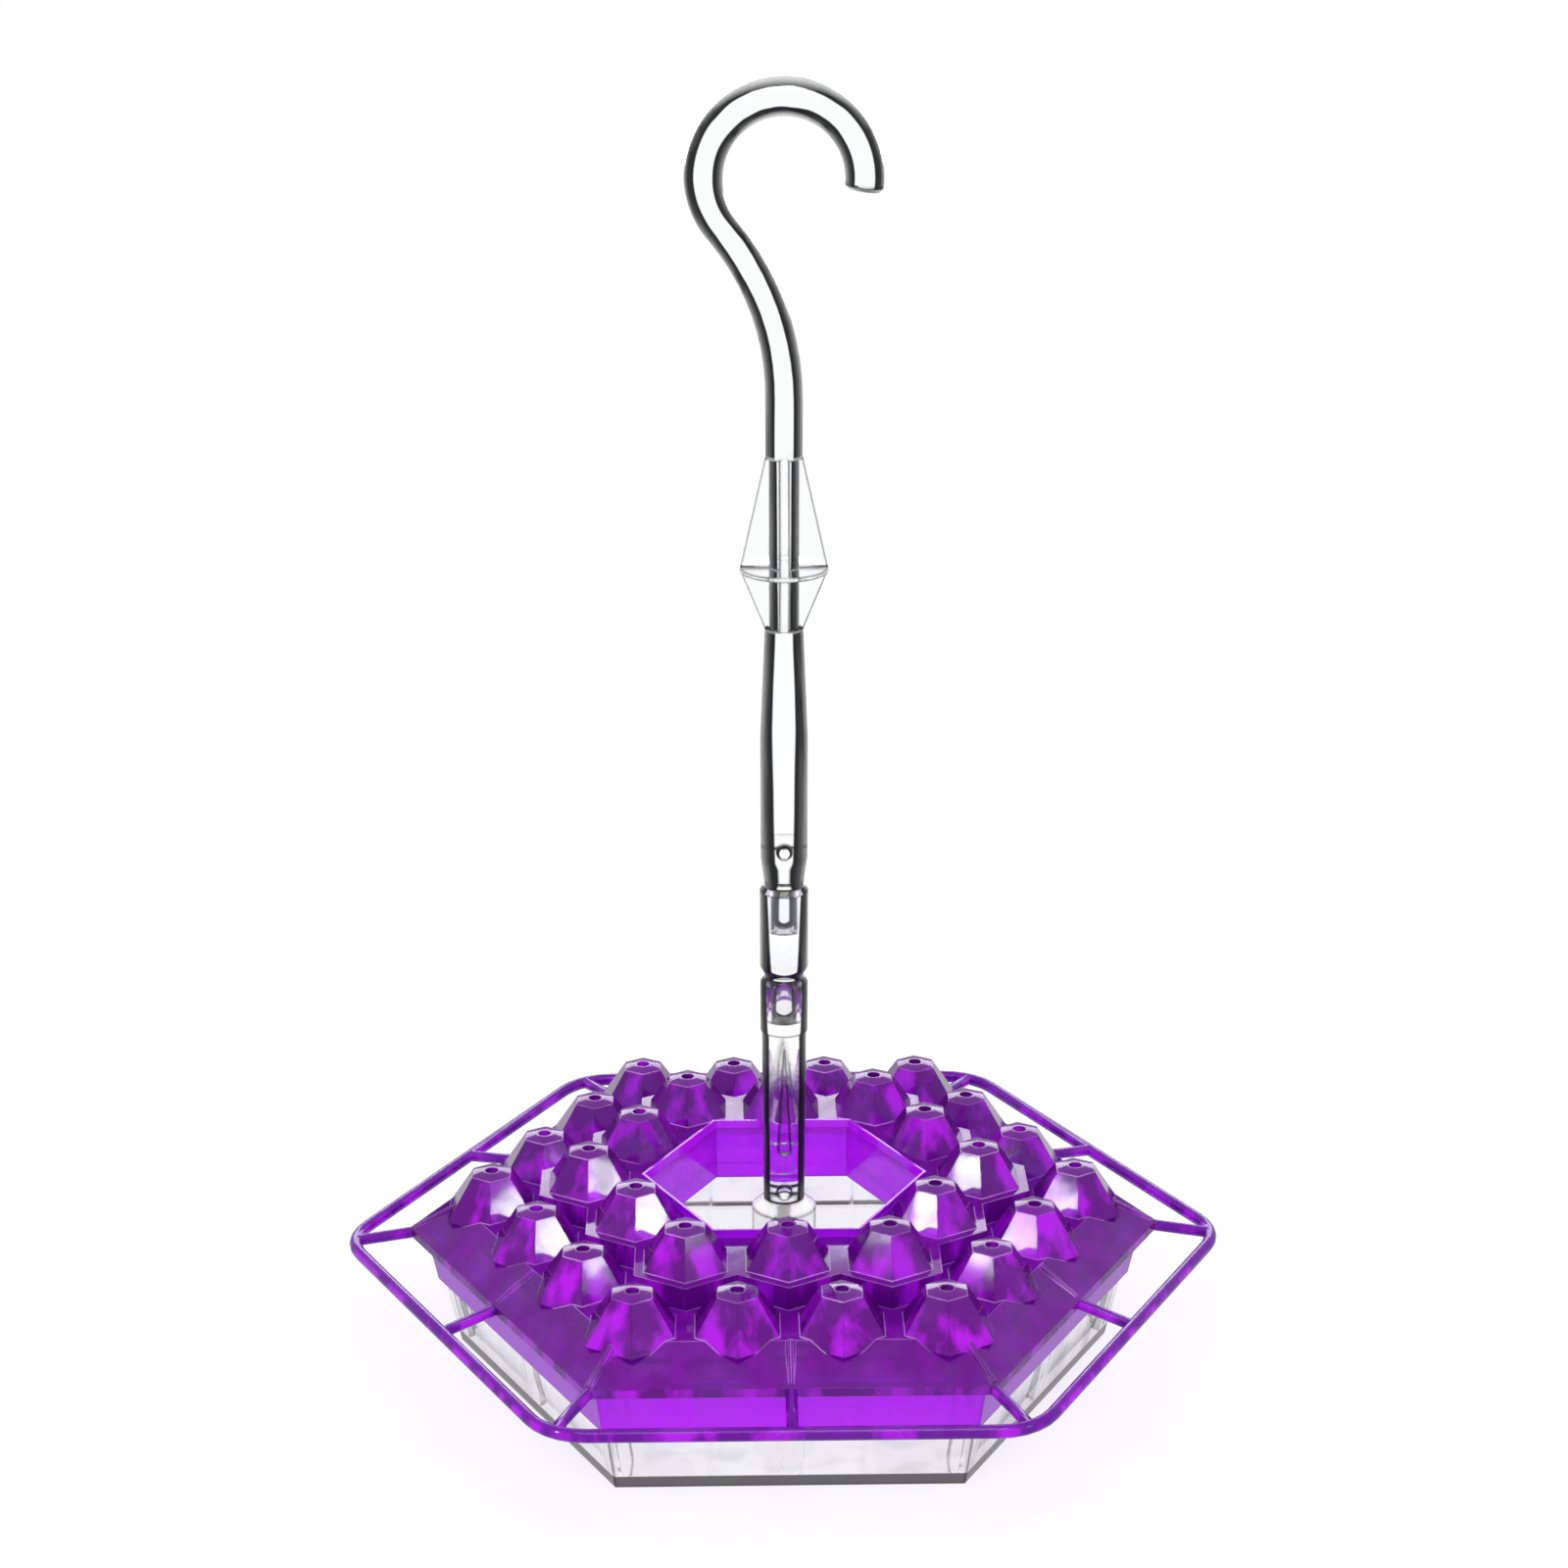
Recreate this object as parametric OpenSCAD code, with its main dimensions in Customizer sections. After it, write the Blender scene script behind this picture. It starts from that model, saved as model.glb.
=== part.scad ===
// Hexagonal dish feeder for hummingbirds: a clear tray, a snap-down lid with thirty feeding ports and a
// perch ring, and a hanging rod in three plugged lengths that ends in a hook.
// Millimetres, +Z up, origin under the middle of the tray.

/* [Tray] */
// Width of the floor across two corners
tray_floor_w = 164; // [156:1:166]
// Width of the upright wall across two corners
tray_rim_w = 169.8; // [168:0.2:174]
// Height of the rim, which carries the lid
tray_h = 34; // [30:1:44]
// Height at which the leaning wall turns upright
tray_lean_h = 14; // [8:1:18]
// Thickness of the outer wall and of the moat's wall
tray_wall = 1.8; // [1.2:0.1:2.4]
// Thickness of the floor
tray_floor_t = 2; // [1.4:0.1:3]
// Width of the moat across two corners, inside its wall
moat_w = 74; // [72:1:80]
// How far the moat's wall stays below the rim
moat_drop = 1; // [0.5:0.5:6]
// Width of the stiffening ribs inside the wall
rib_w = 5.4; // [3:0.2:7]
// Width of the ribs where they meet the floor
rib_foot_w = 2.8; // [2:0.2:5]
// Height at which the ribs reach their full width
rib_taper_z = 7; // [5:0.5:12]
// How far the ribs stand in from the wall
rib_depth = 1.4; // [0.8:0.1:2]

/* [Rod socket in the tray] */
// Outer diameter of the boss
boss_d = 16; // [14:0.5:20]
// Height of the boss's seat above the table
boss_h = 39.8; // [36:0.2:44]
// Height of the boss's top chamfer
boss_chamfer = 2.4; // [1:0.2:4]

/* [Lid] */
// Width of the flange across two corners
flange_w = 188; // [184:1:196]
// Thickness of the lid's walls
lid_wall = 1.8; // [1.4:0.1:2.2]
// Height of the upright edge round the flange
lip_h = 2.2; // [1.6:0.2:3.4]
// How far the flange's edge hangs below the tray's rim
lip_drop = 4.4; // [3:0.2:6]
// Rise of the outer terrace above the tray's rim
outer_rise = 4.1; // [3.4:0.1:6]
// Step from the outer terrace up to the inner one
terrace_step = 5.9; // [4:0.1:8]
// Width of the outer terrace across two corners
outer_terrace_w = 162.4; // [160:0.4:166]
// Width of the central hole across two corners
hole_w = 67.8; // [64:0.2:70]
// Rise of the bead round the hole above the inner terrace
bead_h = 2.2; // [0.8:0.2:3]
// Length of the collar that hangs into the moat, from the bead's top
collar_h = 15.8; // [12:0.2:18]
// Thickness of the collar
collar_wall = 1.5; // [1.2:0.1:1.8]
// Height of the chamfer inside the bead
bead_chamfer_h = 1.8; // [0.6:0.2:2.6]
// Width of that chamfer
bead_chamfer_w = 0.8; // [0.4:0.1:0.9]
// How far the skirt hangs below the flange's edge
skirt_drop = 12.2; // [8:0.2:14]
// Thickness of the skirt
skirt_wall = 1.1; // [0.9:0.1:1.4]
// Gap between the skirt's lower edge and the tray's wall
skirt_gap = 1; // [0.6:0.1:1.6]
// How far the skirt flares out from its lower edge to the flange
skirt_flare = 2.6; // [1:0.2:3.4]

/* [Ports] */
// Distance between neighbouring ports
port_pitch = 24.35; // [23.6:0.05:25]
// Width of a port's foot across its flats
port_foot_w = 19.8; // [17:0.2:21]
// Width of a port's shoulder across its flats
port_top_w = 9.4; // [7:0.2:11]
// Height of the shoulder above the terrace
port_h = 8.8; // [6:0.2:10]
// Height of the blunt cap above the shoulder
cap_h = 0.6; // [0.2:0.1:1.4]
// Width of the cap's flat top across its flats
cap_w = 4.8; // [4.6:0.2:6.4]
// Diameter of the feeding hole
port_hole_d = 3.3; // [2.6:0.1:3.8]
// Thickness of a port's sloping sides
port_wall = 1.5; // [1:0.1:1.8]

/* [Perch] */
// Width of the perch across two corners, between the bar's centre lines
perch_w = 220; // [214:1:232]
// Diameter of the perch bar
perch_d = 3.2; // [2.6:0.1:4.4]
// Radius of the perch's corners, to the bar's centre line
perch_corner_r = 15; // [8:1:24]
// How far the bar's centre line lies below the flange's edge
perch_drop = 1.3; // [0.6:0.1:3]
// Diameter of the spokes
spoke_d = 2.8; // [2:0.1:3.2]
// Height of the ridges that the spokes become on the flange
ridge_h = 0.9; // [0.4:0.1:1.3]
// Width of those ridges
ridge_w = 2.3; // [1.8:0.1:2.4]

/* [Plug joints] */
// Diameter of the plugs
plug_d = 6.4; // [5:0.2:7]
// Length of the plugs, dome included
plug_l = 11; // [8:0.5:14]
// Radial running clearance of a plug in its socket
plug_fit = 0.05; // [0.03:0.01:0.1]
// Clearance below a plug's dome
plug_end_gap = 0.6; // [0.3:0.1:1.5]
// Diameter of the rods' necks at the seats
neck_d = 9.6; // [9:0.1:10.4]
// Height of the straight neck above a seat
neck_h = 0.8; // [0.4:0.1:1.4]

/* [Lower rod] */
// Length of the lower rod between its seats
lower_l = 59.8; // [50:0.2:70]
// Diameter just above the neck
lower_foot_d = 10.3; // [10:0.1:10.8]
// Diameter below the socket
lower_waist_d = 10.9; // [10.4:0.1:11.2]
// Diameter round the socket
lower_top_d = 11.6; // [11.3:0.1:12.4]
// Length of the thicker part round the socket
lower_top_l = 14; // [13.5:0.5:20]

/* [Middle rod] */
// Length of the middle rod between its seats
middle_l = 24; // [20:0.5:40]
// Diameter of the middle rod
middle_d = 11.8; // [11.2:0.1:12.6]
// Height of the chamfer at the top of a rod
top_chamfer = 1.3; // [0.8:0.1:1.8]
// Width of the seat left inside that chamfer
top_seat_d = 9.9; // [9.4:0.1:10.4]
// Length over which the middle rod's foot flares out
middle_flare_l = 2.2; // [1:0.2:5]

/* [Hook rod] */
// Diameter of the shank
shank_d = 11.4; // [11:0.1:12.4]
// Length over which the shank's foot flares out
shank_flare_l = 6.6; // [3:0.2:10]
// Height of the shank's straight end above its seat
shank_l = 38; // [32:1:44]
// Height of the kite's lower point above the seat
kite_z = 65; // [60:1:72]
// Diameter of the rod below the kite
kite_neck_d = 9.1; // [8.6:0.1:10]
// Height of the kite's widest place above its lower point
kite_low_h = 14.4; // [10:0.2:20]
// Height of the kite's upper point above its widest place
kite_high_h = 27; // [20:0.5:34]
// Width of the kite at its widest
kite_w = 20.8; // [18:0.2:26]
// Diameter of the rod inside the kite
kite_core_d = 6.9; // [6:0.1:8]
// Thickness of the kite's fins
fin_t = 2.2; // [1.4:0.1:3]
// Thickness of the disc at the kite's widest place
disc_t = 1.1; // [0.8:0.1:2]
// Height of the straight neck above the kite
top_neck_l = 14; // [8:1:24]
// Diameter of the bar just above the kite
bar_neck_d = 8.7; // [7.5:0.1:9.4]
// Diameter of the bar where the bend runs into the hook
bar_bend_d = 7.9; // [7:0.1:9]
// Diameter of the bar round the hook
bar_hook_d = 8.8; // [7.5:0.1:9.4]
// Radius of the hook to the bar's centre line
hook_r = 18.2; // [15:0.2:22]
// Turn of the bend that carries the hook out and back over the rod
bend_angle = 40; // [30:1:50]
// How far the hook's tip turns past its widest place
tip_angle = 8.5; // [0:0.5:25]

/* [Marks in the rods] */
// Diameter of the drop-shaped recesses at their round end
drop_d = 3; // [2:0.1:3.6]
// Length of the recess in the hook rod
hook_drop_l = 22; // [16:1:26]
// Length of the recess in the lower rod
lower_drop_l = 30; // [16:1:30]
// Depth of the recesses
drop_depth = 1.3; // [0.6:0.1:2]
// Height of the recess's round end above the seat in the hook rod
hook_drop_z = 18; // [16:0.5:20]
// Height of the recess's round end above the seat in the lower rod
lower_drop_z = 15; // [10:0.5:18]
// Diameter of the round dimples
dimple_d = 4.6; // [3:0.2:5.4]
// Height of the dimple's middle above the seat in the hook rod
hook_dimple_z = 10.4; // [9:0.2:11]
// Height of the dimple's middle above the seat in the lower rod
lower_dimple_z = 3.4; // [3:0.2:5]

/* [Hidden] */

clear_plastic = "gainsboro";
purple_plastic = "blueviolet";
cut = 1;          // how far a cutter reaches past the face that it opens
sink = 0.4;       // how far joined shapes run into each other
merge = 0.02;     // closes the seams between neighbouring cells
round_fn = 48;
bar_sides = 28;   // sides of the hook's bar
bar_step = 4;     // degrees between two rings of the hook's bar
tip_round = 0.8;  // rounding of the hook's tip
perch_sides = 16;
corner_steps = 5;
spoke_sides = 12;

// Heights
lip_z = tray_h - lip_drop;
lip_top_z = lip_z + lip_h;
outer_z = tray_h + outer_rise;
inner_z = outer_z + terrace_step;
bead_z = inner_z + bead_h;
collar_z = bead_z - collar_h;
skirt_z = lip_z - skirt_drop;
perch_z = lip_z - perch_drop;
lower_seat_z = boss_h;
middle_seat_z = lower_seat_z + lower_l;
hook_seat_z = middle_seat_z + middle_l;

// Corner radii of the hexagons
rim_r = tray_rim_w / 2;
flange_r = flange_w / 2;
outer_terrace_r = outer_terrace_w / 2;
hole_r = hole_w / 2;
perch_r = perch_w / 2;
land_in_r = inward(rim_r, tray_wall + 0.4);
land_out_r = outward(rim_r, 0.7);
skirt_low_r = outward(rim_r, skirt_gap + skirt_wall);
socket_d = plug_d + 2 * plug_fit;
socket_l = plug_l + plug_end_gap;

// A hexagon's corner radius after its sides move in or out by t
function inward(r, t) = r - t / cos(30);
function outward(r, t) = r + t / cos(30);
function flats_r(w) = w / 2 / cos(30);

// Distance from the middle to a hexagon's edge: at a corner, or half way along a side
function reach(r, at_corner) = at_corner ? r : r * cos(30);

// Places of the ports in one ring of the honeycomb, as [x, y]
function cell_ring(a, b) = max(abs(a), abs(b), abs(a + b));
function cells(low, high) = [
    for (a = [-high:high])
        for (b = [-high:high])
            if (cell_ring(a, b) >= low && cell_ring(a, b) <= high)
                [port_pitch * (a + b / 2), port_pitch * b * sin(60)]
];

module hexagon(r) {
    circle(r = r, $fn = 6);
}

module hex_prism(r, z0, z1) {
    translate([0, 0, z0])
        linear_extrude(z1 - z0)
            hexagon(r);
}

module hex_cone(r0, r1, z0, z1, turn = 0) {
    translate([0, 0, z0])
        rotate(turn)
            cylinder(r1 = r0, r2 = r1, h = z1 - z0, $fn = 6);
}

module hex_wall(r_out, r_in, z0, z1) {
    difference() {
        hex_prism(r_out, z0, z1);
        hex_prism(r_in, z0 - cut, z1 + cut);
    }
}

// A straight spoke from point p to point q
module spoke_bar(p, q, d) {
    v = q - p;
    l = norm(v);
    translate(p)
        rotate([0, acos(v[2] / l), atan2(v[1], v[0])])
            cylinder(d = d, h = l, $fn = spoke_sides);
}

// A round bar of changing thickness along stations of [x, z, heading, diameter] in the XZ plane, where
// heading is the turn from +Z towards -X
module swept_bar(stations) {
    n = bar_sides;
    last = len(stations) - 1;
    points = [
        for (s = stations)
            for (j = [0:n - 1])
                let (q = 360 * j / n, u = s[3] / 2 * cos(q))
                    [s[0] + u * cos(s[2]), s[3] / 2 * sin(q), s[1] + u * sin(s[2])]
    ];
    sides = [
        for (i = [0:last - 1])
            for (j = [0:n - 1])
                let (k = (j + 1) % n)
                    [i * n + j, (i + 1) * n + j, (i + 1) * n + k, i * n + k]
    ];
    start_face = [for (j = [0:n - 1]) j];
    end_face = [for (j = [n - 1:-1:0]) last * n + j];
    polyhedron(points, concat(sides, [start_face], [end_face]), convexity = 6);
}

// A plug that hangs below a seat at z = 0
module plug() {
    translate([0, 0, plug_d / 2 - plug_l])
        cylinder(d = plug_d, h = plug_l - plug_d / 2 + sink, $fn = round_fn);
    translate([0, 0, plug_d / 2 - plug_l])
        sphere(d = plug_d, $fn = round_fn);
}

// The cutter for a plug's socket, below a seat at z = 0
module socket() {
    translate([0, 0, -socket_l])
        cylinder(d = socket_d, h = socket_l + cut, $fn = round_fn);
}

// A drop-shaped recess and a round dimple, cut into the front and the back of a rod
module marks(rod_d, drop_l, drop_z, dimple_z) {
    r = drop_d / 2;
    tip = drop_l - drop_d / 2;
    a = asin(r / tip);
    for (side = [0, 180])
        rotate(side) {
            translate([0, drop_depth - rod_d / 2, drop_z])
                rotate([90, 0, 0])
                    linear_extrude(drop_depth + cut) {
                        circle(r = r, $fn = round_fn);
                        polygon([[-r * cos(a), r * sin(a)], [r * cos(a), r * sin(a)], [0, tip]]);
                    }
            translate([0, -rod_d / 2 - dimple_d / 5, dimple_z])
                sphere(d = dimple_d, $fn = round_fn);
        }
}

// The tray's outer form, moved in by t and starting at height z0
module tray_form(t, z0, z1) {
    floor_r = tray_floor_w / 2;
    lean = (rim_r - floor_r) / tray_lean_h;
    hex_cone(inward(floor_r + lean * z0, t), inward(rim_r, t), z0, tray_lean_h);
    hex_prism(inward(rim_r, t), tray_lean_h, z1);
}

module rib_outline() {
    polygon([
        [-rib_foot_w / 2, 0],
        [rib_foot_w / 2, 0],
        [rib_w / 2, rib_taper_z],
        [rib_w / 2, tray_h],
        [-rib_w / 2, tray_h],
        [-rib_w / 2, rib_taper_z]
    ]);
}

module tray_ribs() {
    intersection() {
        difference() {
            tray_form(tray_wall / 2, tray_floor_t / 2, tray_h - moat_drop);
            tray_form(tray_wall + rib_depth, tray_floor_t / 2 - 0.5, tray_h);
        }
        for (turn = [0:30:150])
            rotate([90, 0, 90 + turn])
                translate([0, 0, -tray_rim_w])
                    linear_extrude(2 * tray_rim_w)
                        rib_outline();
    }
}

module boss() {
    cylinder(d = boss_d, h = boss_h - boss_chamfer, $fn = round_fn);
    translate([0, 0, boss_h - boss_chamfer])
        cylinder(d1 = boss_d, d2 = top_seat_d + 0.3, h = boss_chamfer, $fn = round_fn);
}

module tray() {
    color(clear_plastic)
        difference() {
            union() {
                difference() {
                    tray_form(0, 0, tray_h);
                    tray_form(tray_wall, tray_floor_t, tray_h + cut);
                }
                hex_wall(outward(moat_w / 2, tray_wall), moat_w / 2, tray_floor_t / 2, tray_h - moat_drop);
                tray_ribs();
                boss();
            }
            translate([0, 0, lower_seat_z])
                socket();
        }
}

// The honeycomb outline of the inner terrace, moved in by t
module terrace_outline(t) {
    offset(delta = -t)
        offset(delta = merge)
            for (c = cells(0, 2))
                translate(c)
                    rotate(30)
                        hexagon(flats_r(port_pitch));
}

// A six-sided turning of a profile of [radius, z] points, with corners towards +Y and -Y
module hex_turned(profile) {
    rotate(30)
        rotate_extrude($fn = 6)
            polygon(profile);
}

// One port above a terrace at height z; its foot reaches below it, into the flange's slope
module port(z, foot) {
    slope = (port_foot_w - port_top_w) / port_h;
    shoulder_z = z + port_h;
    hex_turned([
        [0, z - foot],
        [flats_r(port_foot_w + slope * foot), z - foot],
        [flats_r(port_top_w), shoulder_z],
        [flats_r(cap_w), shoulder_z + cap_h],
        [0, shoulder_z + cap_h]
    ]);
}

// The hollow of a port, open into the space below the terrace
module port_hollow(z) {
    slope = (port_foot_w - port_top_w) / port_h;
    thinner = port_wall * sqrt(4 + slope * slope);
    low = lid_wall + merge;
    roof = port_wall - cap_h;
    hex_turned([
        [0, z - low],
        [flats_r(port_foot_w + slope * low - thinner), z - low],
        [flats_r(port_top_w + slope * roof - thinner), z + port_h - roof],
        [0, z + port_h - roof]
    ]);
    translate([0, 0, z + port_h - port_wall])
        cylinder(d = port_hole_d, h = port_wall + cap_h + cut, $fn = round_fn / 2);
}

// Everything of the lid that is hollow from below
module lid_form() {
    hex_prism(flange_r, lip_z, lip_top_z);
    hex_cone(flange_r, outer_terrace_r, lip_top_z, outer_z);
    translate([0, 0, outer_z - sink])
        linear_extrude(terrace_step + sink)
            terrace_outline(0);
    for (c = cells(3, 3))
        translate(c)
            port(outer_z, lid_wall);
    for (c = cells(2, 2))
        translate(c)
            port(inner_z, sink);
}

module lid_hollow() {
    flange_hollow(lip_z - cut);
    hex_prism(land_in_r, tray_h - sink, outer_z - lid_wall);
    translate([0, 0, outer_z - lid_wall - sink])
        linear_extrude(terrace_step + sink)
            terrace_outline(lid_wall);
    for (c = cells(3, 3))
        translate(c)
            port_hollow(outer_z);
    for (c = cells(2, 2))
        translate(c)
            port_hollow(inner_z);
}

// The hollow of the flange, down to the tray's rim
module flange_hollow(z0) {
    hex_cone(inward(flange_r, lid_wall), land_out_r, lip_z, tray_h);
    hex_prism(inward(flange_r, lid_wall), z0, lip_z + merge);
}

// The thin wall round the tray, which ends flush under the flange's slope
module skirt() {
    top_z = lip_top_z + 0.2;
    top_r = skirt_low_r + skirt_flare * (top_z - skirt_z) / skirt_drop;
    color(purple_plastic)
        intersection() {
            difference() {
                hex_cone(skirt_low_r, top_r, skirt_z, top_z);
                hex_cone(inward(skirt_low_r, skirt_wall), inward(top_r, skirt_wall), skirt_z - merge, top_z + merge);
            }
            flange_hollow(skirt_z - cut);
        }
}

// The wall round the hole, from the bead on the inner terrace down to the moat
module collar() {
    lean = bead_chamfer_w / bead_chamfer_h;
    color(purple_plastic)
        difference() {
            hex_wall(outward(hole_r, collar_wall), hole_r, collar_z, bead_z);
            hex_cone(
                hole_r, outward(hole_r, bead_chamfer_w + lean * cut),
                bead_z - bead_chamfer_h, bead_z + cut
            );
        }
}

// The perch: one round bar that runs round the hexagon and turns through an arc at each corner
module perch_ring() {
    n = perch_sides;
    corner_c = perch_r - perch_corner_r / cos(30);
    stations = [
        for (corner = [0:60:300])
            for (i = [0:corner_steps])
                let (a = corner - 30 + 60 * i / corner_steps)
                    [corner_c * cos(corner) + perch_corner_r * cos(a),
                     corner_c * sin(corner) + perch_corner_r * sin(a), a]
    ];
    rings = len(stations);
    points = [
        for (s = stations)
            for (j = [0:n - 1])
                let (q = 360 * (j + 0.5) / n, u = perch_d / 2 * cos(q))
                    [s[0] + u * cos(s[2]), s[1] + u * sin(s[2]), perch_z + perch_d / 2 * sin(q)]
    ];
    faces = [
        for (i = [0:rings - 1])
            for (j = [0:n - 1])
                let (k = (j + 1) % n, next = (i + 1) % rings)
                    [i * n + j, i * n + k, next * n + k, next * n + j]
    ];
    polyhedron(points, faces, convexity = 8);
}

// A spoke from the perch to the flange's edge
module spoke(at_corner) {
    perch_x = at_corner ? perch_r - perch_corner_r * (1 / cos(30) - 1) : perch_r * cos(30);
    spoke_bar([perch_x, 0, perch_z], [reach(flange_r, at_corner) - 1.5, 0, lip_z + lip_h / 2], spoke_d);
}

// The ridge that a spoke becomes on the flange's slope
module ridge(at_corner) {
    ridge_sink = ridge_w / 2 - ridge_h;
    edge_x = reach(flange_r, at_corner) - 1.5;
    top_x = reach(outer_terrace_r, at_corner);
    spoke_bar([edge_x, 0, lip_top_z - ridge_sink], [top_x, 0, outer_z - ridge_sink], ridge_w);
}

module lid() {
    color(purple_plastic) {
        difference() {
            lid_form();
            lid_hollow();
            hex_prism(outward(hole_r, collar_wall), collar_z, bead_z + cut);
        }
        for (turn = [0:60:300]) {
            rotate(turn)
                ridge(true);
            rotate(turn + 30)
                ridge(false);
        }
    }
}

module perch() {
    color(purple_plastic) {
        perch_ring();
        difference() {
            for (turn = [0:60:300]) {
                rotate(turn)
                    spoke(true);
                rotate(turn + 30)
                    spoke(false);
            }
            hex_prism(flange_r, lip_z - lip_h, lip_top_z + lip_h);
        }
    }
}

// A turned rod from a list of [z, diameter] steps above a seat at z = 0
module turned(steps) {
    top = steps[len(steps) - 1][0];
    rotate_extrude($fn = round_fn)
        polygon(concat([[0, 0]], [for (s = steps) [s[1] / 2, s[0]]], [[0, top]]));
}

module lower_rod() {
    color(clear_plastic)
        translate([0, 0, lower_seat_z])
            difference() {
                union() {
                    turned([
                        [0, lower_foot_d],
                        [lower_l - lower_top_l, lower_waist_d],
                        [lower_l - lower_top_l, lower_top_d],
                        [lower_l - top_chamfer, lower_top_d],
                        [lower_l, top_seat_d]
                    ]);
                    plug();
                }
                translate([0, 0, lower_l])
                    socket();
                marks(lower_foot_d, lower_drop_l, lower_drop_z, lower_dimple_z);
            }
}

module middle_rod() {
    color(clear_plastic)
        translate([0, 0, middle_seat_z])
            difference() {
                union() {
                    turned([
                        [0, neck_d],
                        [neck_h, neck_d],
                        [neck_h + middle_flare_l, middle_d],
                        [middle_l - top_chamfer, middle_d],
                        [middle_l, top_seat_d]
                    ]);
                    plug();
                }
                translate([0, 0, middle_l])
                    socket();
            }
}

// Four fins round a core, widest at a thin disc
module kite() {
    kite_top = kite_low_h + kite_high_h;
    for (turn = [0, 90])
        rotate(turn)
            rotate([90, 0, 0])
                linear_extrude(fin_t, center = true)
                    polygon([
                        [-kite_neck_d / 2, 0], [kite_neck_d / 2, 0],
                        [kite_w / 2, kite_low_h], [bar_neck_d / 2, kite_top],
                        [-bar_neck_d / 2, kite_top], [-kite_w / 2, kite_low_h]
                    ]);
    translate([0, 0, -sink])
        cylinder(d = kite_core_d, h = kite_top + 2 * sink, $fn = round_fn);
    translate([0, 0, kite_low_h - disc_t / 2])
        cylinder(d = kite_w, h = disc_t, $fn = round_fn);
}

// The bar from the kite's upper point at z = 0, up a straight neck, out through a bend and round the hook
module hook() {
    bend_r = hook_r * cos(bend_angle) / (1 - cos(bend_angle));
    centre_z = top_neck_l + (bend_r + hook_r) * sin(bend_angle);
    function bend_at(a, d) = [bend_r * (cos(a) - 1), top_neck_l + bend_r * sin(a), a, d];
    function hook_at(b, d) = [hook_r * cos(b), centre_z + hook_r * sin(b), b - 180, d];
    function between(p, q, f) = p + (q - p) * f;
    bend_steps = ceil(bend_angle / bar_step);
    out_steps = bend_steps;
    round_steps = ceil((180 + tip_angle) / bar_step);
    end_turn = tip_round / hook_r * 180 / PI;
    swept_bar(concat(
        [[0, -sink, 0, bar_neck_d]],
        [for (i = [0:bend_steps - 1])
            bend_at(bend_angle * i / bend_steps, between(bar_neck_d, bar_bend_d, i / bend_steps))],
        [for (i = [0:out_steps])
            hook_at(180 + bend_angle * (1 - i / out_steps), between(bar_bend_d, bar_hook_d, i / out_steps))],
        [for (i = [1:round_steps])
            hook_at(180 - (180 + tip_angle - end_turn) * i / round_steps, bar_hook_d)],
        [hook_at(-tip_angle, bar_hook_d - 2 * tip_round)]
    ));
}

module hook_rod() {
    kite_top_z = kite_z + kite_low_h + kite_high_h;
    color(clear_plastic)
        translate([0, 0, hook_seat_z]) {
            difference() {
                union() {
                    turned([
                        [0, neck_d],
                        [neck_h, neck_d],
                        [neck_h + shank_flare_l, shank_d],
                        [shank_l, shank_d],
                        [kite_z, kite_neck_d]
                    ]);
                    plug();
                }
                marks(shank_d, hook_drop_l, hook_drop_z, hook_dimple_z);
            }
            translate([0, 0, kite_z])
                kite();
            translate([0, 0, kite_top_z])
                hook();
        }
}

tray();
lid();
collar();
skirt();
perch();
lower_rod();
middle_rod();
hook_rod();
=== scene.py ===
"""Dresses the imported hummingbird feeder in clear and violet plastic, and lights it on white."""

import math

import bmesh
import bpy
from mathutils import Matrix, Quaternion, Vector


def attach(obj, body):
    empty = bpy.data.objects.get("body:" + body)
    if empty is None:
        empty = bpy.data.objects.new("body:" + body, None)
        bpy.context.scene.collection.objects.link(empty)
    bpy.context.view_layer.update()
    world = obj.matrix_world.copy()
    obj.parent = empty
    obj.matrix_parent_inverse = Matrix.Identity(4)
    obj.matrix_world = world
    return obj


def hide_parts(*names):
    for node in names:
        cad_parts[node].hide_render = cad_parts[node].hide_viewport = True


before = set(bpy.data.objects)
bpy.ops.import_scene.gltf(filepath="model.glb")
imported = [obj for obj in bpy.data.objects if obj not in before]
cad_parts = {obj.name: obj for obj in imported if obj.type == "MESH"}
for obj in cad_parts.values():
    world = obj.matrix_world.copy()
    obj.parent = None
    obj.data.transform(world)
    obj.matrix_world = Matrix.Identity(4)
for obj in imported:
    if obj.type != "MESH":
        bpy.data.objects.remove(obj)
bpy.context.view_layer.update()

bl_info = {
    "name": "Hummingbird feeder",
    "version": (1, 0, 0),
    "blender": (4, 5, 0),
    "location": "View3D > Sidebar > Feeder",
    "description": "Moulded plastic finishes and a studio for the hexagonal hummingbird feeder",
    "category": "Object",
}

# Pixels of the photograph's frame, for the camera
PHOTO_SIDE = 1600
PHOTO_FOCAL = 3313
# Width of the camera's sensor in millimetres
SENSOR_WIDTH = 36

# Vertices of the solids that lie nearer together than this are one
MERGE_DISTANCE = 2e-6
# Sharpest angle in degrees that is still a curve, on the large mouldings and on the slender ones
LARGE_CURVE = 20
SLENDER_CURVE = 35

# Refractive index of the clear plastic, and a lower one for a faint gloss on the violet body
CLEAR_BEND = 1.49
BODY_BEND = 1.22
BODY_ROUGHNESS = 0.08

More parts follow.
